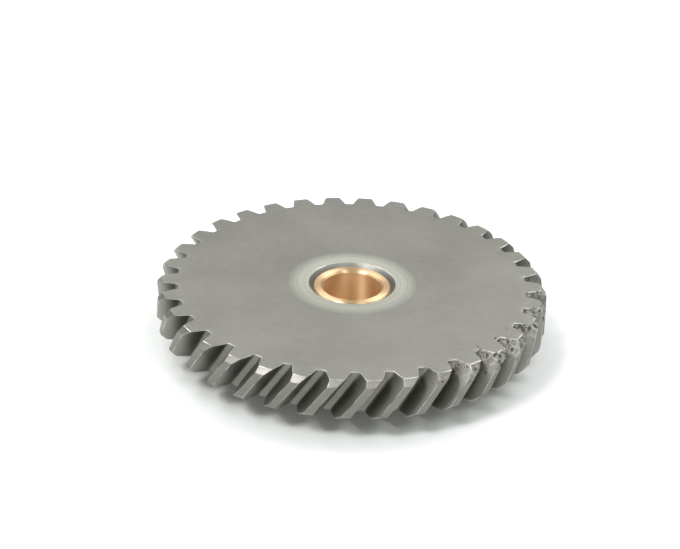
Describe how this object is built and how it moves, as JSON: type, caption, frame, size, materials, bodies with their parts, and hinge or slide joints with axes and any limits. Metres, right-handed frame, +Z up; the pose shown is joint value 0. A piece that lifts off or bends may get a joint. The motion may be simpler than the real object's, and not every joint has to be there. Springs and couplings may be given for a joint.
{
  "type": "helical gear",
  "caption": "Single helical gear with a short hub on its lower side and a plain bronze bush pressed into the bore, to turn freely on a shaft.",
  "frame": {"origin": "on the bore's axis, in the plane of the hub's end face that the gear stands on", "axes": "+Z up the bore, from the hub's end to the plain upper face; +X through the middle of one tooth at the upper face"},
  "size_m": [0.086, 0.086, 0.014],
  "materials": {
    "steel": "turned and cut steel, dull grey, with bright edges and some pitting",
    "bronze": "bronze bush, finely bored and polished by use"
  },
  "bodies": {
    "root": {"gear_wheel": "steel", "bush": "bronze"}
  },
  "joints": []
}
